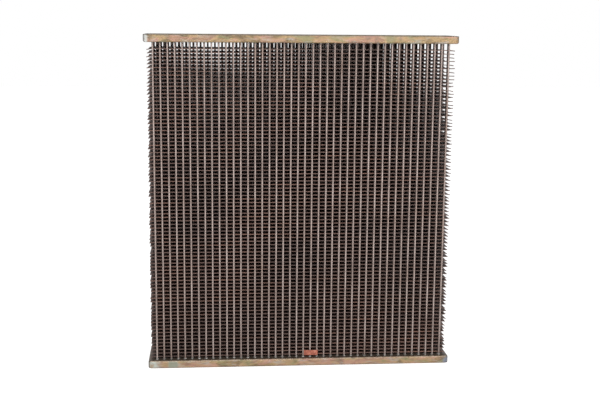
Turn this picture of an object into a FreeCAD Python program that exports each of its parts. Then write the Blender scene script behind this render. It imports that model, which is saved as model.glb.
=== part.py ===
"""Soldered copper and brass radiator core: flat tubes, plate fins and two tray headers.

The core stands upright. X runs across its width, Y through its depth with the front
at -Y, and Z up. The origin is the middle of the rectangle that the lower rim stands on.
Tubes pass through every fin and through both header plates. The rims of the headers
turn away from the core, so each header is a shallow tray that a tank is soldered into.
"""

import FreeCAD, Part
import Sketcher
import math
import os
from FreeCAD import Placement, Rotation, Vector

doc = FreeCAD.newDocument("radiator_core")

# ---------------------------------------------------------------- driving sizes, mm

SIZES = {
    # flat tubes
    "tubes_per_row": 42,      # in the first and every other row; the rows between hold one less
    "row_count": 4,
    "tube_pitch": 10.0,       # across the core
    "row_pitch": 17.7,        # through the core
    "tube_chord": 10.0,       # nose to nose, through the core
    "tube_thickness": 2.4,
    "tube_wall": 0.25,
    "tube_reach": 1.2,        # how far a tube stands into the tray
    # plate fins
    "fin_count": 87,
    "fin_pitch": 5.08,        # five fins to the inch
    "fin_sheet": 0.2,
    "nose_reach": 0.4,        # outer rows' noses stand this far out of the fins' edges
    "fin_end_margin": 8.75,   # from the last tube's centre to the fin's end
    "fins_per_node": 2,
    # tray headers
    "lower_gap": 4.0,        # from the lower header plate to the lowest fin
    "upper_gap": 9.1,         # from the top fin to the upper header plate
    "header_sheet": 1.6,
    "rim_height": 10.5,
    "overhang_side": 3.75,    # header beyond the fins' ends
    "overhang_front": 8.2,    # header beyond the outer rows' noses
    "corner_radius": 6.0,
    "bend_radius": 2.6,       # outside of the bend from plate to rim
    # blank tag soldered across the noses of the front tubes, at the two lowest fins
    "tag_width": 20.0,
    "tag_height": 7.5,
    "tag_sheet": 0.6,
    "tag_corner": 1.0,
    "tag_lap": 0.8,           # how far the tag stands above the second fin's underside
    "tag_offset": 16.0,       # tag's middle, right of the core's middle
}

sheet = doc.addObject("Spreadsheet::Sheet", "sizes")
for line, (alias, value) in enumerate(SIZES.items(), start=1):
    sheet.set(f"A{line}", alias)
    sheet.set(f"B{line}", str(value))
    sheet.setAlias(f"B{line}", alias)
doc.recompute()


def size(alias):
    """A driving size, read from the sheet."""
    return float(sheet.get(alias))


# Expressions that more than one object is bound to.
FIN_WIDTH = "(sizes.tubes_per_row - 1) * sizes.tube_pitch + 2 * sizes.fin_end_margin"
TUBE_DEPTH = "(sizes.row_count - 1) * sizes.row_pitch + sizes.tube_chord"
FIN_DEPTH = f"{TUBE_DEPTH} - 2 * sizes.nose_reach"
FIN_STACK = "(sizes.fin_count - 1) * sizes.fin_pitch + sizes.fin_sheet"
TUBE_LENGTH = (
    f"{FIN_STACK} + sizes.lower_gap + sizes.upper_gap"
    " + 2 * (sizes.header_sheet + sizes.tube_reach)"
)
TUBE_BASE = "sizes.rim_height - sizes.header_sheet - sizes.tube_reach"
FIRST_FIN = "sizes.rim_height + sizes.lower_gap"
TOP_PLATE = f"{FIRST_FIN} + {FIN_STACK} + sizes.upper_gap"
HEADER_WIDTH = f"{FIN_WIDTH} + 2 * sizes.overhang_side"
HEADER_DEPTH = f"{TUBE_DEPTH} + 2 * sizes.overhang_front"
ARC_RADIUS = (
    "(sizes.tube_chord * sizes.tube_chord + sizes.tube_thickness * sizes.tube_thickness)"
    " / (4 * sizes.tube_thickness)"
)


# ---------------------------------------------------------------- helpers

FLAT = 1e-6  # a box this thin belongs to a level face or an upright edge


def origin_plane(body, role):
    """One of a body's own origin planes, found by its role."""
    return next(f for f in body.Origin.OriginFeatures if f.Role == role)


def sketch_on(body, role, name):
    """A new sketch on one of the body's origin planes."""
    sketch = body.newObject("Sketcher::SketchObject", name)
    sketch.AttachmentSupport = [(origin_plane(body, role), "")]
    sketch.MapMode = "FlatFace"
    return sketch


def bound(sketch, constraint, name, expression):
    """Add a named dimension to a sketch and bind it to the sheet."""
    index = sketch.addConstraint(constraint)
    sketch.renameConstraint(index, name)
    sketch.setExpression(f"Constraints.{name}", expression)


def pad(body, sketch, name, length):
    """Pad a sketch upwards to a length bound to the sheet."""
    feature = body.newObject("PartDesign::Pad", name)
    feature.Profile = sketch
    feature.setExpression("Length", length)
    sketch.Visibility = False
    doc.recompute()
    return feature


def centred_rectangle(sketch, width, first_width, depth, first_depth):
    """A rectangle about the sketch's origin, its sides bound to the sheet.

    A sketch needs a first guess before its dimensions are solved, so each side comes with one.
    """
    half_x, half_y = first_width / 2, first_depth / 2
    corners = [Vector(-half_x, -half_y), Vector(half_x, -half_y),
               Vector(half_x, half_y), Vector(-half_x, half_y)]
    for k in range(4):
        sketch.addGeometry(Part.LineSegment(corners[k], corners[(k + 1) % 4]), False)
    for k in range(4):
        sketch.addConstraint(Sketcher.Constraint("Coincident", k, 2, (k + 1) % 4, 1))
    for k in (0, 2):
        sketch.addConstraint(Sketcher.Constraint("Horizontal", k))
        sketch.addConstraint(Sketcher.Constraint("Vertical", k + 1))
    sketch.addConstraint(Sketcher.Constraint("Symmetric", 0, 1, 2, 1, -1, 1))
    bound(sketch, Sketcher.Constraint("DistanceX", 0, 1, 0, 2, first_width), "width", width)
    bound(sketch, Sketcher.Constraint("DistanceY", 1, 1, 1, 2, first_depth), "depth", depth)


def level_face(shape, z):
    """The name of a shape's level face at the given height."""
    for number, face in enumerate(shape.Faces, start=1):
        box = face.BoundBox
        if box.ZLength < FLAT and abs(box.ZMin - z) < FLAT:
            return f"Face{number}"
    raise ValueError(f"no level face at {z}")


def edges_where(shape, wanted):
    """Names of the edges whose bounding box passes a test."""
    return [f"Edge{n}" for n, e in enumerate(shape.Edges, start=1) if wanted(e.BoundBox)]


def fillet(body, base, edges, name, radius):
    """Round some edges of a body's last feature."""
    feature = body.newObject("PartDesign::Fillet", name)
    feature.Base = (base, edges)
    feature.setExpression("Radius", radius)
    doc.recompute()
    return feature


# ---------------------------------------------------------------- one flat tube


def tube_section(sketch, half_chord, half_thickness, radius):
    """Two arcs from nose to nose, one each side of the sketch's Y axis.

    The noses lie on the Y axis. Returns the number of the arc on the right.
    """
    arcs = []
    start = len(sketch.Geometry)
    for side in (1, -1):
        points = [Vector(0, -side * half_chord), Vector(side * half_thickness, 0),
                  Vector(0, side * half_chord)]
        arcs.append(sketch.addGeometry(Part.Arc(*points), False))
    right, left = arcs
    sketch.addConstraint(Sketcher.Constraint("Coincident", right, 2, left, 1))
    sketch.addConstraint(Sketcher.Constraint("Coincident", left, 2, right, 1))
    sketch.addConstraint(Sketcher.Constraint("PointOnObject", right, 1, -2))
    sketch.addConstraint(Sketcher.Constraint("PointOnObject", right, 2, -2))
    sketch.addConstraint(Sketcher.Constraint("Equal", right, left))
    name = f"radius_{start}"
    bound(sketch, Sketcher.Constraint("Radius", right, radius[0]), name, radius[1])
    return right


def flat_tube(name, hollow):
    """A flat tube standing on the XY plane, or the solid that fills its outline."""
    body = doc.addObject("PartDesign::Body", name)
    sketch = sketch_on(body, "XY_Plane", f"{name}_section")
    half_chord = size("tube_chord") / 2
    half_thickness = size("tube_thickness") / 2
    radius = (half_chord**2 + half_thickness**2) / (2 * half_thickness)
    right = tube_section(sketch, half_chord, half_thickness, (radius, ARC_RADIUS))
    sketch.addConstraint(Sketcher.Constraint("PointOnObject", right, 3, -1))
    bound(
        sketch,
        Sketcher.Constraint("DistanceY", right, 1, right, 2, 2 * half_chord),
        "chord",
        "sizes.tube_chord",
    )
    if hollow:
        wall = size("tube_wall")
        bore_radius = radius - wall
        bore_half_chord = math.sqrt(bore_radius**2 - (radius - half_thickness) ** 2)
        bore_right = tube_section(
            sketch,
            bore_half_chord,
            half_thickness - wall,
            (bore_radius, f"{ARC_RADIUS} - sizes.tube_wall"),
        )
        sketch.addConstraint(Sketcher.Constraint("Coincident", right, 3, bore_right, 3))
    pad(body, sketch, f"{name}_pad", TUBE_LENGTH)
    body.setExpression("Placement.Base.z", TUBE_BASE)
    return body


def tube_places():
    """The centre of every tube, row by row from the front.

    Rows stand half a pitch apart by turns, so a tube faces the gap in the row before it.
    """
    rows = []
    for row in range(int(size("row_count"))):
        count = int(size("tubes_per_row")) - row % 2
        y = (row - (size("row_count") - 1) / 2) * size("row_pitch")
        xs = [(k - (count - 1) / 2) * size("tube_pitch") for k in range(count)]
        rows.append([Vector(x, y, 0) for x in xs])
    return rows


tube = flat_tube("tube", hollow=True)
tube_outline = flat_tube("tube_outline", hollow=False)
doc.recompute()

tube_rows = []
for number, places in enumerate(tube_places(), start=1):
    row = doc.addObject("Part::Feature", f"tube_row_{number}")
    row.Shape = Part.makeCompound([tube.Shape.translated(place) for place in places])
    tube_rows.append(row)

# Every slot in the fins and headers is the outline of the tube soldered into it.
slots = doc.addObject("Part::Feature", "tube_slots")
slots.Shape = Part.makeCompound(
    [tube_outline.Shape.translated(place) for row in tube_places() for place in row]
)


# ---------------------------------------------------------------- plate fins


fin_blank = doc.addObject("Part::Box", "fin_blank")
fin_blank.setExpression("Length", FIN_WIDTH)
fin_blank.setExpression("Width", FIN_DEPTH)
fin_blank.setExpression("Height", "sizes.fin_sheet")
fin_blank.setExpression("Placement.Base.x", f"-({FIN_WIDTH}) / 2")
fin_blank.setExpression("Placement.Base.y", f"-({FIN_DEPTH}) / 2")
fin_blank.setExpression("Placement.Base.z", FIRST_FIN)
fin = doc.addObject("Part::Cut", "fin")
fin.Base = fin_blank
fin.Tool = slots
doc.recompute()

fin_nodes = []
fin_total = int(size("fin_count"))
fins_each = int(size("fins_per_node"))
for first in range(0, fin_total, fins_each):
    count = min(fins_each, fin_total - first)
    numbers = sorted({first + 1, first + count})
    name = "fins_" + "_".join(f"{number:02d}" for number in numbers)
    node = doc.addObject("Part::Feature", name)
    node.Shape = Part.makeCompound(
        [fin.Shape.translated(Vector(0, 0, k * size("fin_pitch"))) for k in range(count)]
    )
    node.Placement = Placement(Vector(0, 0, first * size("fin_pitch")), Rotation())
    fin_nodes.append(node)


# ---------------------------------------------------------------- tray headers


def header_blank(name):
    """A tray pressed from sheet, standing on its plate, with its rim up."""
    body = doc.addObject("PartDesign::Body", name)
    sketch = sketch_on(body, "XY_Plane", f"{name}_plan")
    centred_rectangle(sketch, HEADER_WIDTH, 435.0, HEADER_DEPTH, 79.5)
    block = pad(body, sketch, f"{name}_block", "sizes.rim_height")
    upright = edges_where(block.Shape, lambda b: b.ZLength > FLAT)
    corners_round = fillet(body, block, upright, f"{name}_corners", "sizes.corner_radius")
    foot = edges_where(corners_round.Shape, lambda b: b.ZMax < FLAT)
    bend = fillet(body, corners_round, foot, f"{name}_bend", "sizes.bend_radius")
    tray = body.newObject("PartDesign::Thickness", f"{name}_tray")
    tray.Base = (bend, [level_face(bend.Shape, size("rim_height"))])
    tray.setExpression("Value", "sizes.header_sheet")
    tray.Reversed = True
    doc.recompute()
    return body


def slotted(name, blank):
    """A header tray with a slot for every tube."""
    cut = doc.addObject("Part::Cut", name)
    cut.Base = blank
    cut.Tool = slots
    return cut


upper_blank = header_blank("upper_tray")
upper_blank.setExpression("Placement.Base.z", TOP_PLATE)
lower_blank = header_blank("lower_tray")
lower_blank.Placement = Placement(Vector(0, 0, size("rim_height")), Rotation(Vector(1, 0, 0), 180))
lower_blank.setExpression("Placement.Base.z", "sizes.rim_height")
upper_header = slotted("upper_header_plate", upper_blank)
lower_header = slotted("lower_header_plate", lower_blank)


# ---------------------------------------------------------------- blank tag

tag = doc.addObject("PartDesign::Body", "blank_tag")
tag_face = sketch_on(tag, "XZ_Plane", "tag_face")
centred_rectangle(
    tag_face, "sizes.tag_width", size("tag_width"), "sizes.tag_height", size("tag_height")
)
tag_strip = pad(tag, tag_face, "tag_strip", "sizes.tag_sheet")
tag_edges = edges_where(
    tag_strip.Shape, lambda b: b.XLength < FLAT and b.ZLength < FLAT
)
fillet(tag, tag_strip, tag_edges, "tag_corners", "sizes.tag_corner")
tag.setExpression("Placement.Base.x", "sizes.tag_offset")
tag.setExpression("Placement.Base.y", f"-({TUBE_DEPTH}) / 2")
tag.setExpression(
    "Placement.Base.z",
    f"{FIRST_FIN} + sizes.fin_pitch + sizes.tag_lap - sizes.tag_height / 2",
)
doc.recompute()


# ---------------------------------------------------------------- check and write

nodes = [upper_header, lower_header, tag] + tube_rows + fin_nodes
for node in nodes:
    node.Label = node.Name

for item in doc.Objects:
    for flag in ("Invalid", "Error"):
        if flag in item.State:
            raise RuntimeError(f"{item.Name} is {flag}")
for node in nodes:
    if node.Shape.isNull() or not node.Shape.isValid():
        raise RuntimeError(f"{node.Name} has no valid shape")

os.makedirs("parts", exist_ok=True)
for node in nodes:
    node.Shape.exportStep(f"parts/{node.Label}.step")
    print(node.Label, len(node.Shape.Solids), round(node.Shape.Volume, 1), node.Shape.BoundBox)
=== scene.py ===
# %% [markdown]
# # A soldered radiator core
#
# The object is a bare radiator core of copper and brass: 166 flat tubes stand in four rows,
# 87 thin plate fins are threaded onto them, and a pressed tray header closes each end.
# The CAD frame gives the places and sizes. This script adds the looks: fins of real thin
# sheet that sag and have battered ends, tubes with round noses, stained trays, and solder.
#
# Everything is in metres, with the front of the core at -Y.

# %% The frame

import math
import random

import bmesh
import bpy
from mathutils import Matrix, Vector, noise


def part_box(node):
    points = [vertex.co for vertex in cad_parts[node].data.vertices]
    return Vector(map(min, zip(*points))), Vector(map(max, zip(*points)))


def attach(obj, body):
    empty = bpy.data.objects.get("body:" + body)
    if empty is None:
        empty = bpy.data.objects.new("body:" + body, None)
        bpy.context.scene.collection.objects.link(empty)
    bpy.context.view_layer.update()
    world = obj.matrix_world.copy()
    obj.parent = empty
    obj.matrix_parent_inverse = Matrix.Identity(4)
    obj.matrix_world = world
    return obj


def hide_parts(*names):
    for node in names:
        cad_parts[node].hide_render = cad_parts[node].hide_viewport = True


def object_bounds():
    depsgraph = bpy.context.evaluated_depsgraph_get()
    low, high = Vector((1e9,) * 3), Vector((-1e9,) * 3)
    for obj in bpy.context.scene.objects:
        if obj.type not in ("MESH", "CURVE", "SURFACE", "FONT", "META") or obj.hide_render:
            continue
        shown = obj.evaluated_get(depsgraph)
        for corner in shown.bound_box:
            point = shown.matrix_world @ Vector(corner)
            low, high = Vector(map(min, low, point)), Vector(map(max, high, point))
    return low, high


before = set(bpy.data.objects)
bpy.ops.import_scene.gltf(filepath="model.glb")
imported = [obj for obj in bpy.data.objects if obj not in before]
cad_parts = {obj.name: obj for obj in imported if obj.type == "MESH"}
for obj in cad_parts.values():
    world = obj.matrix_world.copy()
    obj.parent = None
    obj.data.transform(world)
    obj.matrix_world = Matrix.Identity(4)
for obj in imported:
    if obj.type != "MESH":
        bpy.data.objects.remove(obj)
cad_low, cad_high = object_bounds()
print("CAD box:", [round(v, 4) for v in (*cad_low, *cad_high)])

MM = 0.001
scene = bpy.context.scene

# %% [markdown]
# ## Sizes read from the frame
#
# A node's box says where its piece lies, so most sizes need no number of their own. The fins
# come two to a node, so the step from one node's floor to the next is two fin pitches.
# What a box can't tell, such as how many tubes a row holds, is a named value here.

# %% Sizes read from the frame

TUBES_IN_FRONT_ROW = 42
TUBE_THICKNESS = 2.4 * MM
FIN_SHEET = 0.2 * MM
FINS_PER_NODE = 2

core_middle = (cad_low + cad_high) / 2
fin_nodes = sorted(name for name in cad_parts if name.startswith("fins_"))
row_nodes = sorted(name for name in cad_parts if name.startswith("tube_row_"))

fin_low, fin_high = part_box(fin_nodes[0])
next_low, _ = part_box(fin_nodes[1])
FIN_PITCH = (next_low.z - fin_low.z) / FINS_PER_NODE
FIRST_FIN_Z = fin_low.z
_, top_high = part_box(fin_nodes[-1])
FIN_COUNT = round((top_high.z - FIRST_FIN_Z) / FIN_PITCH) + 1

row_boxes = [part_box(name) for name in row_nodes]
TUBE_PITCH = (row_boxes[0][1].x - row_boxes[0][0].x - TUBE_THICKNESS) / (TUBES_IN_FRONT_ROW - 1)
TUBE_CHORD = row_boxes[0][1].y - row_boxes[0][0].y
ROW_Y = [(low.y + high.y) / 2 for low, high in row_boxes]
ROW_COUNT = [TUBES_IN_FRONT_ROW - row % 2 for row in range(len(row_nodes))]


def tube_x(row):
    """The X of every tube in a row. The rows stand half a pitch apart by turns."""
    count = ROW_COUNT[row]
    return [(k - (count - 1) / 2) * TUBE_PITCH for k in range(count)]


print(f"{FIN_COUNT} fins, {FIN_PITCH / MM:.2f} mm apart")
print(f"{sum(ROW_COUNT)} tubes, {TUBE_PITCH / MM:.2f} mm apart in a row")

# %% [markdown]
# ## Small helpers
#
# A bmesh is a mesh that is being worked on. When it is done it becomes a mesh, the mesh gets
# an object, and the object rides on the CAD's one body, which is called root. The object stays
# at the origin: its place is in its mesh, as with the CAD's own nodes.

# %% Small helpers


def as_mesh(bm, name):
    """Turn a bmesh into a mesh, and free it."""
    mesh = bpy.data.meshes.new(name)
    bm.to_mesh(mesh)
    bm.free()
    return mesh


def as_object(name, data):
    """Put a mesh, a lamp or a camera into the scene."""
    thing = bpy.data.objects.new(name, data)
    scene.collection.objects.link(thing)
    return thing


def finished(bm, name, material, replaces=(), smooth=False):
    """Turn a bmesh into a piece of the radiator that stands for some CAD nodes."""
    bmesh.ops.recalc_face_normals(bm, faces=bm.faces)
    for face in bm.faces:
        face.smooth = smooth
    piece = as_object(name, as_mesh(bm, name))
    piece.data.materials.append(material)
    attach(piece, "root")
    if replaces:
        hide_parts(*replaces)
    return piece


def wobble(x, seed, wavelength):
    """A smooth value between about -1 and 1 that changes slowly with x.

    Each seed reads the noise along a line of its own, and near seeds give like curves.
    """
    return noise.noise(Vector((x / wavelength, seed * 3.17, 7.3 - seed)))


# %% [markdown]
# ## Node helpers
#
# A material is a small graph of nodes. These helpers keep each material short: one makes a
# noise pattern in object coordinates, one maps a number to a colour, and one mixes two colours.
# Object coordinates are metres on the piece, so a scale of 100 makes spots of about a centimetre.

# %% Node helpers


def new_material(name):
    """A material with its nodes, its Principled shader and the object coordinates."""
    material = bpy.data.materials.new(name)
    material.use_nodes = True
    tree = material.node_tree
    shader = tree.nodes["Principled BSDF"]
    coordinates = tree.nodes.new("ShaderNodeTexCoord")
    return material, tree, shader, coordinates.outputs["Object"]


def stretched(tree, place, scale):
    """Object coordinates stretched by a different amount along each axis."""
    mapping = tree.nodes.new("ShaderNodeMapping")
    mapping.inputs["Scale"].default_value = scale
    tree.links.new(place, mapping.inputs["Vector"])
    return mapping.outputs["Vector"]


def noise_value(tree, place, scale, detail=4.0, roughness=0.55, distortion=0.0):
    """A cloudy pattern from 0 to 1."""
    texture = tree.nodes.new("ShaderNodeTexNoise")
    texture.inputs["Scale"].default_value = scale
    texture.inputs["Detail"].default_value = detail
    texture.inputs["Roughness"].default_value = roughness
    texture.inputs["Distortion"].default_value = distortion
    tree.links.new(place, texture.inputs["Vector"])
    return texture.outputs["Fac"]


def ramp(tree, value, stops):
    """A number mapped to a colour. Each stop is a position and a linear RGB colour."""
    node = tree.nodes.new("ShaderNodeValToRGB")
    elements = node.color_ramp.elements
    while len(elements) < len(stops):
        elements.new(0.5)
    for element, (position, colour) in zip(elements, stops):
        element.position = position
        element.color = (*colour, 1.0)
    tree.links.new(value, node.inputs["Fac"])
    return node.outputs["Color"]


def grey_ramp(tree, value, stops):
    """A number mapped to another number, along straight lines between the stops."""
    return ramp(tree, value, [(position, (level,) * 3) for position, level in stops])


def mixed(tree, factor, first, second, blend="MIX"):
    """Two colours mixed by a factor."""
    node = tree.nodes.new("ShaderNodeMix")
    node.data_type = "RGBA"
    node.blend_type = blend
    for socket, value in (("Factor_Float", factor), ("A_Color", first), ("B_Color", second)):
        target = next(s for s in node.inputs if s.identifier == socket)
        if isinstance(value, (tuple, float)):
            target.default_value = value if isinstance(value, float) else (*value, 1.0)
        else:
            tree.links.new(value, target)
    return next(s for s in node.outputs if s.identifier == "Result_Color")


def bump(tree, shader, height, distance, strength=1.0):
    """Let a pattern tilt the shading normal, as fine relief does."""
    node = tree.nodes.new("ShaderNodeBump")
    node.inputs["Distance"].default_value = distance
    node.inputs["Strength"].default_value = strength
    tree.links.new(height, node.inputs["Height"])
    tree.links.new(node.outputs["Normal"], shader.inputs["Normal"])


def roughened(tree, shader, pattern, smoothest, roughest):
    """Let a pattern set how rough the surface is."""
    rough = grey_ramp(tree, pattern, [(0.3, smoothest), (0.7, roughest)])
    tree.links.new(rough, shader.inputs["Roughness"])


def describe(material):
    """Say how many nodes a finished material has."""
    print(f"{material.name}: {len(material.node_tree.nodes)} nodes")


# %% [markdown]
# ## Finish: fins of heat-darkened copper
#
# The fins are thin copper sheet. Baking the core to solder it leaves them brown, with redder
# and greyer patches. The patches are a few centimetres wide and run over many fins, so the
# pattern is read from object coordinates and carries from fin to fin.

# %% Finish: fins of heat-darkened copper


def fin_finish():
    """Brown copper with broad patches, a tint for each fin and fine pale specks."""
    material, tree, shader, place = new_material("heat_darkened_copper")
    broad = noise_value(tree, place, 9.0, detail=3.0)
    body = ramp(tree, broad, [
        (0.30, (0.038, 0.022, 0.018)),
        (0.50, (0.066, 0.038, 0.030)),
        (0.68, (0.100, 0.056, 0.044)),
    ])
    fin_by_fin = noise_value(tree, stretched(tree, place, (14.0, 8.0, 190.0)), 1.0, detail=2.0)
    tint = ramp(tree, fin_by_fin, [
        (0.35, (0.70, 0.62, 0.62)),
        (0.50, (1.0, 0.95, 0.92)),
        (0.68, (1.30, 1.08, 0.92)),
    ])
    body = mixed(tree, 1.0, body, tint, "MULTIPLY")
    fine = noise_value(tree, place, 420.0, detail=3.0)
    specks = grey_ramp(tree, fine, [(0.52, 0.0), (0.72, 0.55)])
    body = mixed(tree, specks, body, (0.13, 0.085, 0.070))
    tree.links.new(body, shader.inputs["Base Color"])
    shader.inputs["Metallic"].default_value = 0.4
    roughened(tree, shader, fine, 0.46, 0.68)
    bump(tree, shader, fine, 0.2 * MM, 0.4)
    return material


FIN_COPPER = fin_finish()
describe(FIN_COPPER)

# %% [markdown]
# ## Finish: tinned tubes
#
# Flat brass tubes are drawn through a bath of solder before the core is built, so they are
# dull silver grey. The coat runs down in streaks, and a pattern stretched along Z gives them.

# %% Finish: tinned tubes


def tube_finish():
    """Dull silver grey in upright streaks, with brown stains."""
    material, tree, shader, place = new_material("tinned_brass")
    streaks = noise_value(tree, stretched(tree, place, (420.0, 420.0, 22.0)), 1.0, detail=3.0)
    body = ramp(tree, streaks, [
        (0.28, (0.165, 0.125, 0.110)),
        (0.50, (0.270, 0.215, 0.193)),
        (0.72, (0.370, 0.305, 0.280)),
    ])
    stains = noise_value(tree, place, 26.0, detail=4.0)
    dark = grey_ramp(tree, stains, [(0.52, 0.0), (0.70, 0.5)])
    body = mixed(tree, dark, body, (0.20, 0.13, 0.095))
    tree.links.new(body, shader.inputs["Base Color"])
    shader.inputs["Metallic"].default_value = 0.55
    fine = noise_value(tree, place, 600.0, detail=3.0)
    roughened(tree, shader, fine, 0.36, 0.58)
    bump(tree, shader, fine, 0.2 * MM, 0.5)
    return material


TINNED_TUBE = tube_finish()
describe(TINNED_TUBE)

# %% [markdown]
# ## Finish: stained brass trays
#
# The headers are pressed from brass sheet. Flux, torch heat and washing leave ochre, green,
# pink and grey patches on them, drawn out along the rim. Stretched noise patterns choose
# between the tints. Both free edges are darker in a thin band, and solder has run over the corners:
# pale at the left ends, and bluish grey at the right end of the lower tray. The plates
# themselves, inside the bend, carry painted shade in dark brown, and the lower tray's bend has a
# painted pale highlight.
#
# The corner stains need a mask that is 1 near an end and falls to 0 along X. A map-range node
# gives it, and the same node on the height gives the darker bands along the free edges. It also tells
# one tray from the other: a tray lies either well below or well above the middle of the core.

# %% Finish: stained brass trays


def axis_value(tree, place, axis):
    """One coordinate of a place, as a number."""
    split = tree.nodes.new("ShaderNodeSeparateXYZ")
    tree.links.new(place, split.inputs["Vector"])
    return split.outputs[axis]


def fall(tree, value, full, none):
    """A mask that is 1 where the value is at 'full' and 0 from 'none' on."""
    node = tree.nodes.new("ShaderNodeMapRange")
    node.interpolation_type = "SMOOTHSTEP"
    node.inputs["From Min"].default_value = full
    node.inputs["From Max"].default_value = none
    node.inputs["To Min"].default_value = 1.0
    node.inputs["To Max"].default_value = 0.0
    tree.links.new(value, node.inputs["Value"])
    return node.outputs["Result"]


def product(tree, *values):
    """Several numbers multiplied together."""
    result = values[0]
    for value in values[1:]:
        node = tree.nodes.new("ShaderNodeMath")
        node.operation = "MULTIPLY"
        for socket, term in zip(node.inputs, (result, value)):
            if isinstance(term, float):
                socket.default_value = term
            else:
                tree.links.new(term, socket)
        result = node.outputs[0]
    return result


def brass_patches(tree, place, film):
    """Ochre to brown brass with pink, green and grey patches, all drawn out along the rim."""
    along = stretched(tree, place, (26.0, 26.0, 70.0))
    base = ramp(tree, noise_value(tree, along, 1.0, detail=5.0, roughness=0.65, distortion=0.8), [
        (0.30, (0.085, 0.060, 0.034)),
        (0.42, (0.165, 0.110, 0.055)),
        (0.48, (0.250, 0.170, 0.082)),
        (0.54, (0.310, 0.205, 0.110)),
        (0.60, (0.225, 0.130, 0.085)),
        (0.70, (0.130, 0.095, 0.060)),
    ])
    wide = stretched(tree, place, (34.0, 34.0, 110.0))
    tints = noise_value(tree, wide, 1.0, detail=4.0, distortion=0.8)
    pink = grey_ramp(tree, tints, [(0.54, 0.0), (0.63, 0.55)])
    green = grey_ramp(tree, tints, [(0.37, 0.65), (0.46, 0.0)])
    grey = grey_ramp(tree, film, [(0.52, 0.0), (0.66, 0.7)])
    base = mixed(tree, pink, base, (0.37, 0.190, 0.150))
    base = mixed(tree, green, base, (0.165, 0.165, 0.080))
    return mixed(tree, grey, base, (0.30, 0.275, 0.245))


def corner_stains(tree, x, lower, upper, ragged, base):
    """Solder at three corners, and a patch of verdigris near the lower left one.

    Each mask is full at its first distance from the end, and gone at its second one.
    """
    left, right = cad_low.x, cad_high.x
    pale_top = fall(tree, x, left + 4 * MM, left + 8 * MM)
    pale_foot = fall(tree, x, left + 9 * MM, left + 20 * MM)
    verdigris_right = fall(tree, x, left + 40 * MM, left + 44 * MM)
    verdigris_left = fall(tree, x, left + 31 * MM, left + 26 * MM)
    blue_foot = fall(tree, x, right - 5 * MM, right - 11 * MM)
    verdigris = product(tree, lower, verdigris_right, verdigris_left, 0.8)
    base = mixed(tree, product(tree, upper, pale_top, ragged), base, (0.50, 0.51, 0.49))
    base = mixed(tree, product(tree, lower, pale_foot, ragged), base, (0.34, 0.36, 0.32))
    base = mixed(tree, verdigris, base, (0.18, 0.21, 0.165))
    return mixed(tree, product(tree, lower, blue_foot, ragged), base, (0.15, 0.165, 0.20))


def bend_and_edges(tree, place, height, lower, ragged, base):
    """A painted highlight on the lower bend, painted shade on the plates inside the bends, and darker
    bands on the free edges.
    """
    depth = tree.nodes.new("ShaderNodeMath")
    depth.operation = "ABSOLUTE"
    tree.links.new(axis_value(tree, place, "Y"), depth.inputs[0])
    # painted shade: the plate inside the rim, a recess, is painted dark brown
    inside = fall(tree, depth.outputs[0], cad_high.y - 2.6 * MM, cad_high.y - 1.4 * MM)
    # painted highlight: the lower tray's bend is painted pale, as if light caught it
    bend_highlight = product(tree, lower, fall(tree, height, 10.2 * MM, 8.6 * MM), ragged)
    # a thin darker band along the free edge of each tray's rim
    foot_edge_dark = fall(tree, height, cad_low.z + 0.3 * MM, cad_low.z + 1.5 * MM)
    top_edge_dark = fall(tree, height, cad_high.z - 0.3 * MM, cad_high.z - 1.3 * MM)
    base = mixed(tree, bend_highlight, base, (0.46, 0.36, 0.27))
    base = mixed(tree, product(tree, inside, 0.85), base, (0.060, 0.042, 0.033))
    base = mixed(tree, product(tree, foot_edge_dark, 0.8), base, (0.115, 0.070, 0.055))
    return mixed(tree, product(tree, top_edge_dark, 0.8), base, (0.095, 0.080, 0.060))


def header_finish():
    """Stained brass: its patches first, then the corners, and the bend and edges last."""
    material, tree, shader, place = new_material("stained_brass")
    thin = stretched(tree, place, (48.0, 48.0, 220.0))
    film = noise_value(tree, thin, 1.0, detail=5.0, roughness=0.7)
    base = brass_patches(tree, place, film)
    x, height = axis_value(tree, place, "X"), axis_value(tree, place, "Z")
    lower = fall(tree, height, 0.10, 0.12)
    upper = fall(tree, height, 0.40, 0.38)
    ragged = grey_ramp(tree, noise_value(tree, place, 170.0, detail=4.0), [(0.36, 0.25), (0.56, 1.0)])
    base = corner_stains(tree, x, lower, upper, ragged, base)
    base = bend_and_edges(tree, place, height, lower, ragged, base)
    tree.links.new(base, shader.inputs["Base Color"])
    shader.inputs["Metallic"].default_value = 0.45
    roughened(tree, shader, film, 0.38, 0.64)
    drawn = stretched(tree, place, (60.0, 60.0, 2400.0))
    scratches = noise_value(tree, drawn, 1.0, detail=3.0)
    bump(tree, shader, scratches, 0.3 * MM, 0.3)
    return material


STAINED_BRASS = header_finish()
describe(STAINED_BRASS)

# %% [markdown]
# ## Finish: solder and bare copper
#
# Solder is dull grey and a little lumpy, whitish where flux has dried on it and green-grey
# where it has crept onto brass. The tag is a plain strip of copper that has stayed red.

# %% Finish: solder and bare copper


def solder_finish():
    """Grey solder, lumpy, in greenish and whitish patches."""
    material, tree, shader, place = new_material("dull_solder")
    patches = noise_value(tree, place, 120.0, detail=4.0)
    body = ramp(tree, patches, [
        (0.32, (0.17, 0.19, 0.17)),
        (0.50, (0.36, 0.37, 0.35)),
        (0.70, (0.62, 0.62, 0.60)),
    ])
    tree.links.new(body, shader.inputs["Base Color"])
    shader.inputs["Metallic"].default_value = 0.45
    lumps = noise_value(tree, place, 500.0, detail=3.0)
    roughened(tree, shader, lumps, 0.38, 0.62)
    bump(tree, shader, lumps, 0.6 * MM, 0.5)
    return material


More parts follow.
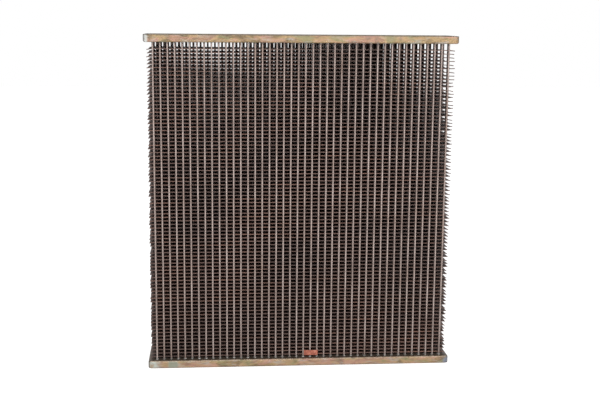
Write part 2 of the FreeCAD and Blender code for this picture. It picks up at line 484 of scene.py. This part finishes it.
def tag_finish():
    """Red copper, a little lighter and darker in patches."""
    material, tree, shader, place = new_material("red_copper")
    patches = noise_value(tree, place, 230.0, detail=4.0)
    body = ramp(tree, patches, [
        (0.35, (0.22, 0.060, 0.038)),
        (0.55, (0.34, 0.105, 0.065)),
        (0.72, (0.48, 0.210, 0.150)),
    ])
    tree.links.new(body, shader.inputs["Base Color"])
    shader.inputs["Metallic"].default_value = 0.5
    roughened(tree, shader, patches, 0.35, 0.6)
    bump(tree, shader, patches, 0.3 * MM, 0.4)
    return material


DULL_SOLDER = solder_finish()
RED_COPPER = tag_finish()
describe(DULL_SOLDER)
describe(RED_COPPER)

# %% [markdown]
# ## The plate fins
#
# A fin starts as a flat grid whose lines are then moved to where the slots need them: two
# lines across the width for every half pitch, one at each side of a slot, and through the
# depth a line at every row's noses. The faces inside the slots are deleted, and the sheet gets
# its thickness last. A grid bends well, which a boolean's long thin faces would not.
#
# The long edges are turned up into a low lip between one tube and the next, which stiffens the
# sheet. The outer rows' noses stand out of the fins, so these tubes show as unbroken lines.
#
# Real fins are never quite flat. Each one sags a little between the tubes, the whole stack
# rises and falls slowly across the width, the back edge stands high at the left and low at the
# right, and the ends past the last tube are bent and torn.

# %% The plate fins

FIN_LEFT, FIN_RIGHT = fin_low.x, fin_high.x
FIN_FRONT, FIN_BACK = fin_low.y, fin_high.y
LAST_TUBE_X = tube_x(0)[-1]

FIN_LIP = 0.9 * MM         # how far the long edges are turned up
LIP_LEAN = 0.2 * MM        # of the lip's top, inwards
EDGE_BAND = 0.3 * MM       # what is nearer than this to a long edge sags and dents with it
SAG = 0.03 * MM            # of the long edges between two tubes
LEAST_SAG = 0.4            # the share of SAG that every cell has
SAG_SPREAD = 3             # how many times SAG a cell may have on top of that
WAVE = 0.10 * MM           # of the stack across the width
OWN_WAVE = 0.4             # the share of WAVE that each fin has for itself
FINS_PER_WAVE = 9          # how many fins go by before the stack's wave is another one
DENT = 0.15 * MM           # inwards along the long edges
END_DROOP = 1.3 * MM       # of a fin's end past the last tube
END_TEAR = 1.6 * MM        # how much a torn end is shorter
END_NOTCH = 1.2 * MM       # how deep a notch in the end's own edge may be
LEFT_DROOP = (0.1, 1.0)    # the left ends all hang
RIGHT_DROOP = (-0.8, 1.0)  # the right ones are bent either way
REAR_LIFT = 0.1 * MM       # of a fin's back edge in the middle of the core
REAR_TWIST = 1.0 * MM      # how much more the back edge is lifted at the left than there

# wavelengths, in metres, and the seeds that keep one pattern apart from the next
STACK_WAVELENGTH, FIN_WAVELENGTH, DENT_WAVELENGTH, NOTCH_WAVELENGTH = 0.06, 0.03, 0.012, 0.02
STACK_SEED, DENT_SEED, END_SEED = 40, 90, 1000
DENT_SEED_STEP, CELL_STEP = 1.3, 1.7


def column_lines():
    """The X of the grid's lines: the fin's ends, a line in each end, and every slot's sides."""
    steps = 2 * (TUBES_IN_FRONT_ROW - 1) + 1
    lines = [FIN_LEFT, (FIN_LEFT - LAST_TUBE_X - TUBE_THICKNESS / 2) / 2]
    for step in range(steps):
        middle = -LAST_TUBE_X + step * TUBE_PITCH / 2
        lines += [middle - TUBE_THICKNESS / 2, middle + TUBE_THICKNESS / 2]
    return lines + [(FIN_RIGHT + LAST_TUBE_X + TUBE_THICKNESS / 2) / 2, FIN_RIGHT]


def band_lines():
    """The Y of the grid's lines: the edges of the fin and the noses that lie between them."""
    noses = [y + side * TUBE_CHORD / 2 for y in ROW_Y for side in (-1, 1)]
    return [FIN_FRONT] + [y for y in noses if FIN_FRONT < y < FIN_BACK] + [FIN_BACK]


def in_slot(point):
    """Whether a point of the flat fin lies inside a tube's slot."""
    for row, y in enumerate(ROW_Y):
        if abs(point.y - y) < TUBE_CHORD / 2:
            step = point.x / TUBE_PITCH + (ROW_COUNT[row] - 1) / 2
            inside = abs(step - round(step)) * TUBE_PITCH < TUBE_THICKNESS / 2
            return inside and 0 <= round(step) < ROW_COUNT[row]
    return False


def flat_fin():
    """A flat fin at Z = 0 with its slots open and no thickness."""
    columns, bands = column_lines(), band_lines()
    bm = bmesh.new()
    bmesh.ops.create_grid(
        bm, x_segments=len(columns) - 1, y_segments=len(bands) - 1, size=0.5
    )
    for v in bm.verts:
        column = round((v.co.x + 0.5) * (len(columns) - 1))
        band = round((v.co.y + 0.5) * (len(bands) - 1))
        v.co.x = columns[column]
        v.co.y = bands[band]
    slots = [f for f in bm.faces if in_slot(f.calc_center_median())]
    bmesh.ops.delete(bm, geom=slots, context="FACES")
    return bm


def raise_lip(bm, y):
    """Turn a long edge of the fin up into a lip that leans a little inwards."""
    edges = [
        e for e in bm.edges
        if e.is_boundary and all(abs(v.co.y - y) < 0.01 * MM for v in e.verts)
    ]
    raised = bmesh.ops.extrude_edge_only(bm, edges=edges)["geom"]
    tops = [v for v in raised if isinstance(v, bmesh.types.BMVert)]
    lean = LIP_LEAN if y < 0 else -LIP_LEAN
    bmesh.ops.translate(bm, verts=tops, vec=(0, lean, FIN_LIP))


def shape_fin(bm, number):
    """Bend a flat fin the way its place in the stack asks for."""
    rng = random.Random(END_SEED + number)
    droop = {-1: rng.uniform(*LEFT_DROOP), 1: rng.uniform(*RIGHT_DROOP)}
    tear = {-1: rng.random() ** 2, 1: rng.random()}
    for v in bm.verts:
        x, y = v.co.x, v.co.y
        side = 1 if x > 0 else -1
        rear_share = (y - FIN_FRONT) / (FIN_BACK - FIN_FRONT)
        past = max(0.0, (abs(x) - LAST_TUBE_X) / (FIN_RIGHT - LAST_TUBE_X))
        # the stack rises and falls slowly, and one fin differs a little from the next
        v.co.z += WAVE * wobble(x, STACK_SEED + number / FINS_PER_WAVE, STACK_WAVELENGTH)
        v.co.z += OWN_WAVE * WAVE * wobble(x, number, FIN_WAVELENGTH)
        v.co.z += rear_share * (REAR_LIFT - REAR_TWIST * x / FIN_RIGHT)
        # the free edges sag between the tubes that hold them
        if min(y - FIN_FRONT, FIN_BACK - y) < EDGE_BAND:
            between = 0.5 + 0.5 * math.cos(2 * math.pi * x / TUBE_PITCH)
            cell = round(x / TUBE_PITCH) * CELL_STEP
            v.co.z -= SAG * between * (LEAST_SAG + abs(wobble(cell, number, 1.0)) * SAG_SPREAD)
            inward = 1 if y < 0 else -1
            dent = abs(wobble(x, DENT_SEED + number * DENT_SEED_STEP, DENT_WAVELENGTH))
            v.co.y += inward * DENT * dent
        # the ends are bent and torn
        v.co.z -= END_DROOP * droop[side] * past**1.5
        v.co.x -= side * END_TEAR * tear[side] * past
        v.co.x -= side * END_NOTCH * past * max(0.0, wobble(y, number * side, NOTCH_WAVELENGTH))


def make_fin(number):
    """One fin of the stack, counted from the bottom."""
    bm = flat_fin()
    raise_lip(bm, FIN_FRONT)
    raise_lip(bm, FIN_BACK)
    shape_fin(bm, number)
    bmesh.ops.translate(bm, verts=bm.verts, vec=(0, 0, FIRST_FIN_Z + number * FIN_PITCH))
    bmesh.ops.solidify(bm, geom=bm.faces[:], thickness=FIN_SHEET)
    node = fin_nodes[number // FINS_PER_NODE]
    return finished(bm, f"fin_{number + 1:02d}", FIN_COPPER, [node])


fins = [make_fin(number) for number in range(FIN_COUNT)]
print(f"{len(fins)} fins of {len(fins[0].data.polygons)} faces")

# %% [markdown]
# ## The flat tubes
#
# A tube's section is a flat oval: two straight sides joined by round noses. A circle pulled
# apart along Y gives it. Extruding the ring upwards makes the wall, and a thin wall with open
# ends is what solidify is for. A tube has no more than sixteen sides, because there are 166.

# %% The flat tubes

NOSE_SIDES = 8
TUBE_WALL = 0.25 * MM


def oval_ring(bm, x, y, z, chord, thickness):
    """A flat oval of vertices and edges, level at Z."""
    radius = thickness / 2
    ring = bmesh.ops.create_circle(
        bm, cap_ends=False, segments=2 * NOSE_SIDES, radius=radius,
        matrix=Matrix.Rotation(math.pi / (2 * NOSE_SIDES), 4, "Z"),
    )["verts"]
    spread = chord / 2 - radius
    for v in ring:
        v.co.y += spread if v.co.y > 0 else -spread
    bmesh.ops.translate(bm, verts=ring, vec=(x, y, z))
    return ring


def ring_edges(ring):
    """The edges that join a ring's vertices."""
    members = set(ring)
    return list({e for v in ring for e in v.link_edges if set(e.verts) <= members})


def make_tube_row(row):
    """All the tubes of one row, each a hollow flat oval."""
    low, high = row_boxes[row]
    bm = bmesh.new()
    for x in tube_x(row):
        ring = oval_ring(bm, x, ROW_Y[row], low.z, TUBE_CHORD, TUBE_THICKNESS)
        raised = bmesh.ops.extrude_edge_only(bm, edges=ring_edges(ring))["geom"]
        tops = [v for v in raised if isinstance(v, bmesh.types.BMVert)]
        bmesh.ops.translate(bm, verts=tops, vec=(0, 0, high.z - low.z))
    bmesh.ops.recalc_face_normals(bm, faces=bm.faces)
    bmesh.ops.solidify(bm, geom=bm.faces[:], thickness=TUBE_WALL)
    name = f"flat_tubes_{row + 1}"
    return finished(bm, name, TINNED_TUBE, [row_nodes[row]])


tube_rows = [make_tube_row(row) for row in range(len(row_nodes))]
print(f"{len(tube_rows)} rows of tubes of {len(tube_rows[0].data.polygons)} faces")

# %% [markdown]
# ## The tray headers
#
# Each header is pressed from one sheet, so it is modelled as one: a rectangle with rounded
# corners is extruded up the rim, then inset a few times round the bend, and what is left in
# the middle is the plate. Solidify turns the surface into sheet. The slots are cut last with
# a boolean, because 166 oval holes would be slow to build into the sheet face by face.
#
# The rim's free edge is not straight on a real tray: it was knocked about before the tank
# would have gone on. It only moves inwards here, so the tray stays inside its CAD box.

# %% The tray headers

HEADER_SHEET = 1.6 * MM
CORNER_RADIUS = 6.0 * MM
BEND_RADIUS = 2.6 * MM
BEND_STEPS = 4
CORNER_STEPS = 6
LONG_SIDE_CUTS = 60
SHORT_SIDE_CUTS = 10
CUTTER_REACH = 3.0 * MM    # of a slot's cutter, above and below the plate's outer face
RIM_DENT = 0.45 * MM
RIM_WAVELENGTH = 0.035
RIM_SEED = 5
END_ZONE = 10.0 * MM       # what is nearer than this to a tray's end moves along X too


def outline_face(bm, width, depth):
    """A level rectangle with rounded corners and many points along its sides."""
    bmesh.ops.create_grid(bm, x_segments=1, y_segments=1, size=0.5)
    bmesh.ops.scale(bm, verts=bm.verts, vec=(width, depth, 1))
    bmesh.ops.bevel(
        bm, geom=bm.verts[:], offset=CORNER_RADIUS, segments=CORNER_STEPS, profile=0.5,
        affect="VERTICES", material=-1,
    )
    long_sides = [e for e in bm.edges if e.calc_length() > depth]
    bmesh.ops.subdivide_edges(bm, edges=long_sides, cuts=LONG_SIDE_CUTS)
    short_sides = [e for e in bm.edges if e.calc_length() > depth / 2]
    bmesh.ops.subdivide_edges(bm, edges=short_sides, cuts=SHORT_SIDE_CUTS)
    return bm.faces[:]


def tray_shell(width, depth, height):
    """A tray's outer surface, its open edge at Z = 0 and its plate at Z = height."""
    bm = bmesh.new()
    top = outline_face(bm, width, depth)
    bmesh.ops.recalc_face_normals(bm, faces=bm.faces)
    if top[0].normal.z < 0:
        bmesh.ops.reverse_faces(bm, faces=top)
    steps = [(0.0, (height - BEND_RADIUS) / 2)] * 2
    for step in range(BEND_STEPS):
        a, b = (math.pi / 2 * (step + k) / BEND_STEPS for k in (0, 1))
        steps.append((
            BEND_RADIUS * (math.cos(a) - math.cos(b)),
            BEND_RADIUS * (math.sin(b) - math.sin(a)),
        ))
    for inset, rise in steps:
        if inset == 0.0:
            raised = bmesh.ops.extrude_face_region(bm, geom=top)["geom"]
            bmesh.ops.delete(bm, geom=top, context="FACES_ONLY")
            top = [g for g in raised if isinstance(g, bmesh.types.BMFace)]
            corners = [g for g in raised if isinstance(g, bmesh.types.BMVert)]
            bmesh.ops.translate(bm, verts=corners, vec=(0, 0, rise))
        else:
            bmesh.ops.inset_region(bm, faces=top, thickness=inset, depth=rise, use_even_offset=True)
    return bm


def slot_cutters(z_low, z_high):
    """One solid oval for every tube, to cut the slots with."""
    bm = bmesh.new()
    for row, y in enumerate(ROW_Y):
        for x in tube_x(row):
            ring = oval_ring(bm, x, y, z_low, TUBE_CHORD, TUBE_THICKNESS)
            cap = bmesh.ops.contextual_create(bm, geom=ring_edges(ring))["faces"]
            raised = bmesh.ops.extrude_face_region(bm, geom=cap)["geom"]
            tops = [g for g in raised if isinstance(g, bmesh.types.BMVert)]
            bmesh.ops.translate(bm, verts=tops, vec=(0, 0, z_high - z_low))
    bmesh.ops.recalc_face_normals(bm, faces=bm.faces)
    return as_object("slot_cutters", as_mesh(bm, "slot_cutters"))


def cut_slots(piece, z_low, z_high):
    """Cut a slot for every tube through a piece."""
    cutters = slot_cutters(z_low, z_high)
    cut = piece.modifiers.new("slots", "BOOLEAN")
    cut.operation = "DIFFERENCE"
    cut.solver = "EXACT"
    cut.object = cutters
    evaluated = piece.evaluated_get(bpy.context.evaluated_depsgraph_get())
    mesh = bpy.data.meshes.new_from_object(evaluated)
    piece.modifiers.clear()
    piece.data = mesh
    bpy.data.objects.remove(cutters)


def make_tray(node, name, up):
    """A header tray in the place of its CAD node, its rim turned up or down."""
    low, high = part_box(node)
    height = high.z - low.z
    bm = tray_shell(high.x - low.x, high.y - low.y, height)
    for v in bm.verts:
        rim = max(0.0, 1 - v.co.z / (height - BEND_RADIUS))
        around = v.co.x + 2 * v.co.y
        inwards = RIM_DENT * rim * abs(wobble(around, RIM_SEED + up, RIM_WAVELENGTH))
        if abs(v.co.x) > high.x - END_ZONE:
            v.co.x -= math.copysign(inwards, v.co.x)
        v.co.y -= math.copysign(inwards, v.co.y)
    bmesh.ops.recalc_face_normals(bm, faces=bm.faces)
    bmesh.ops.solidify(bm, geom=bm.faces[:], thickness=HEADER_SHEET)
    if up:
        half_turn = Matrix.Rotation(math.pi, 3, "X")
        bmesh.ops.rotate(bm, verts=bm.verts, cent=(0, 0, 0), matrix=half_turn)
        bmesh.ops.translate(bm, verts=bm.verts, vec=(0, 0, high.z))
    tray = finished(bm, name, STAINED_BRASS, [node])
    plate_z = low.z if up else high.z
    cut_slots(tray, plate_z - CUTTER_REACH, plate_z + CUTTER_REACH)
    print(f"{name}: {len(tray.data.polygons)} faces, {[round(c / MM, 2) for c in tray.dimensions]} mm")


make_tray("upper_header_plate", "upper_tray", up=True)
make_tray("lower_header_plate", "lower_tray", up=False)

# %% [markdown]
# ## Solder round the tubes
#
# Where a tube goes through a header plate, solder creeps up it in a small ramp. One ramp is a
# ring with a triangular section. It is built once and copied to every tube, at both faces of
# both plates, a little taller or lower each time.

# %% Solder round the tubes

FILLET_WIDTH = 0.9 * MM
FILLET_RISE = 0.8 * MM
HIDDEN = 0.1 * MM          # how far the ramp's inner wall lies within the tube's own wall
RISE_SPREAD = (0.7, 1.25)  # from the lowest ramp to the tallest, in shares of the rise


def solder_ramp():
    """A ring of solder round one tube at the origin, rising from Z = 0."""
    bm = bmesh.new()
    inner_chord, inner_thickness = TUBE_CHORD - 2 * HIDDEN, TUBE_THICKNESS - 2 * HIDDEN
    foot = oval_ring(
        bm, 0, 0, 0, TUBE_CHORD + 2 * FILLET_WIDTH, TUBE_THICKNESS + 2 * FILLET_WIDTH
    )
    tip = oval_ring(bm, 0, 0, FILLET_RISE, inner_chord, inner_thickness)
    root = oval_ring(bm, 0, 0, -HIDDEN, inner_chord, inner_thickness)
    loops = [ring_edges(ring) for ring in (foot, tip, root)]
    for k in range(3):
        bmesh.ops.bridge_loops(bm, edges=loops[k] + loops[(k + 1) % 3])
    return as_mesh(bm, "solder_ramp")


def solder_plate(name, node, ramp_mesh, seed):
    """Ramps of solder round all the tubes on both faces of a header plate."""
    low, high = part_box(node)
    core_below = low.z > core_middle.z
    faces_z = (low.z, low.z + HEADER_SHEET) if core_below else (high.z - HEADER_SHEET, high.z)
    rng = random.Random(seed)
    bm = bmesh.new()
    for z, direction in zip(faces_z, (-1, 1)):
        for row, y in enumerate(ROW_Y):
            for x in tube_x(row):
                known = len(bm.verts)
                bm.from_mesh(ramp_mesh)
                bm.verts.ensure_lookup_table()
                rise = direction * rng.uniform(*RISE_SPREAD)
                place = Matrix.Translation((x, y, z)) @ Matrix.Diagonal((1, 1, rise, 1))
                bmesh.ops.transform(bm, matrix=place, verts=bm.verts[known:])
    return finished(bm, name, DULL_SOLDER, smooth=True)


ramp_mesh = solder_ramp()
solder = [
    solder_plate("upper_solder", "upper_header_plate", ramp_mesh, seed=77),
    solder_plate("lower_solder", "lower_header_plate", ramp_mesh, seed=78),
]
bpy.data.meshes.remove(ramp_mesh)
print(f"{len(solder)} sheets of solder ramps of {len(solder[0].data.polygons)} faces")

# %% [markdown]
# ## The blank tag
#
# A little strip of copper is soldered across the front tubes' noses, low down on the core. It
# is a block with rounded edges, cut into columns so that it can be bent: it gets thinner and
# curls back a little towards its right end, and its top edge is not quite straight.

# %% The blank tag

TAG_EDGE_RADIUS = 0.15 * MM
TAG_COLUMNS = 12
TAG_THINNING = 0.3         # the share of its sheet that it has lost at the right end
TAG_CURL = 0.075 * MM      # how far back it stands there
TAG_RIPPLE = 0.3 * MM      # of the top edge
TAG_WAVELENGTH = 0.006
TAG_SEED = 3


def make_tag():
    """The copper strip in the place of its CAD node."""
    low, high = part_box("blank_tag")
    middle, extent = (low + high) / 2, high - low
    bm = bmesh.new()
    bmesh.ops.create_cube(bm, size=1.0)
    bmesh.ops.scale(bm, verts=bm.verts, vec=extent)
    bmesh.ops.bevel(
        bm, geom=bm.edges[:], offset=TAG_EDGE_RADIUS, segments=2, profile=0.5,
        affect="EDGES", material=-1,
    )
    for column in range(1, TAG_COLUMNS):
        bmesh.ops.bisect_plane(
            bm, geom=bm.verts[:] + bm.edges[:] + bm.faces[:],
            plane_co=((column / TAG_COLUMNS - 0.5) * extent.x, 0, 0), plane_no=(1, 0, 0),
        )
    for v in bm.verts:
        across = v.co.x / extent.x + 0.5
        v.co.y *= 1 - TAG_THINNING * across**3
        v.co.y += TAG_CURL * across**3
        if v.co.z > 0:
            v.co.z -= TAG_RIPPLE * abs(wobble(v.co.x, TAG_SEED, TAG_WAVELENGTH))
    bmesh.ops.translate(bm, verts=bm.verts, vec=middle)
    return finished(bm, "copper_tag", RED_COPPER, ["blank_tag"])


tag = make_tag()
print(f"{tag.name}: {len(tag.data.polygons)} faces")

# %% [markdown]
# ## A white stage
#
# The core stands in an evenly lit white room. The floor is a big plane that glows a little
# as well as reflecting, so that from the front it stays white right up to the rim and no
# horizon shows behind the core. Its faint mottling keeps it a real surface and not a flat colour.
#
# The world is white behind the core and dark in front of it, so the spaces between the fins
# stay dark. From behind the core that dark side shows above the floor as a grey band.

# %% A white stage

FLOOR_HALF = 6.0
FLOOR_GLOW = 0.8
DARK_SIDE = 0.10
FADE_TO_WHITE = 0.12       # the direction's Y at which the dark has given way to white


def floor_finish():
    """A pale, faintly mottled surface that also glows."""
    material, tree, shader, place = new_material("white_floor")
    mottle = grey_ramp(tree, noise_value(tree, place, 6.0), [(0.3, 0.46), (0.7, 0.50)])
    tree.links.new(mottle, shader.inputs["Base Color"])
    shader.inputs["Roughness"].default_value = 0.9
    shader.inputs["Emission Color"].default_value = (1.0, 1.0, 1.0, 1.0)
    shader.inputs["Emission Strength"].default_value = FLOOR_GLOW
    return material


def make_floor():
    """The plane that the core stands on."""
    bm = bmesh.new()
    bmesh.ops.create_grid(bm, x_segments=1, y_segments=1, size=FLOOR_HALF)
    floor = as_object("floor", as_mesh(bm, "floor"))
    floor.data.materials.append(floor_finish())
    return floor


def make_room():
    """The world's light. A direction's Y tells how white it is there."""
    world = bpy.data.worlds.new("white_room")
    world.use_nodes = True
    tree = world.node_tree
    direction = tree.nodes.new("ShaderNodeTexCoord").outputs["Generated"]
    behind = axis_value(tree, direction, "Y")
    wall = grey_ramp(tree, behind, [(0.0, DARK_SIDE), (FADE_TO_WHITE, 1.0)])
    tree.links.new(wall, tree.nodes["Background"].inputs["Color"])
    return world


floor = make_floor()
scene.world = make_room()
scene.view_settings.view_transform = "Standard"
print(f"{floor.name}: {floor.dimensions.x:.0f} m wide; world: {scene.world.name}")

# %% [markdown]
# ## Lamps
#
# Three soft lamps stand in front of the core. The larger one is high on the left and picks out
# the tubes' noses. The fill lamp is high on the right. High lamps leave the spaces between the
# fins dark, since little light reaches into them. A long low lamp keeps the tubes' lower ends
# as bright as their tops.

# %% Lamps


def softbox(name, place, width, height, power):
    """A rectangular lamp that faces the middle of the core."""
    light = bpy.data.lights.new(name, "AREA")
    light.shape = "RECTANGLE"
    light.size = width
    light.size_y = height
    light.energy = power
    lamp = as_object(name, light)
    lamp.location = place
    lamp.rotation_euler = (core_middle - Vector(place)).to_track_quat("-Z", "Y").to_euler()
    return lamp


lamps = [
    softbox("key", (-0.6, -1.5, 1.05), width=1.2, height=0.6, power=20),
    softbox("fill", (0.8, -1.5, 0.95), width=1.0, height=0.6, power=16),
    softbox("low", (0.0, -1.2, 0.12), width=1.6, height=0.2, power=3.5),
]
print(len(lamps), "lamps")

# %% [markdown]
# ## Camera
#
# The camera stands a little left of the core's middle, just higher than its top fin, and looks
# down by about ten degrees. Its three axes are given directly: what is to its right, what is up,
# and the way it looks. The matrix takes the axes as columns, the last one pointing backwards.

# %% Camera

SENSOR_WIDTH = 36.0
CAMERA_LENS = 60.73
CAMERA_X = -0.126
CAMERA_SHIFT = 0.0094
CAMERA_BEFORE_NOSES = 1.4007
CAMERA_ABOVE_TOP_FIN = 0.0409
RIGHT = Vector((0.99665, -0.08132, 0.00824))
UP = Vector((0.00619, 0.17563, 0.98444))

top_fin_z = FIRST_FIN_Z + (FIN_COUNT - 1) * FIN_PITCH
camera_data = bpy.data.cameras.new("camera")
camera_data.lens = CAMERA_LENS
camera_data.sensor_width = SENSOR_WIDTH
camera_data.shift_x = CAMERA_SHIFT
camera = as_object("camera", camera_data)
backwards = RIGHT.cross(UP).normalized()
axes = Matrix((RIGHT.normalized(), backwards.cross(RIGHT).normalized(), backwards)).transposed()
nose_y = row_boxes[0][0].y
place = (CAMERA_X, nose_y - CAMERA_BEFORE_NOSES, top_fin_z + CAMERA_ABOVE_TOP_FIN)
camera.matrix_world = Matrix.Translation(place) @ axes.to_4x4()
scene.camera = camera
print("camera at", [round(c, 4) for c in camera.matrix_world.translation])
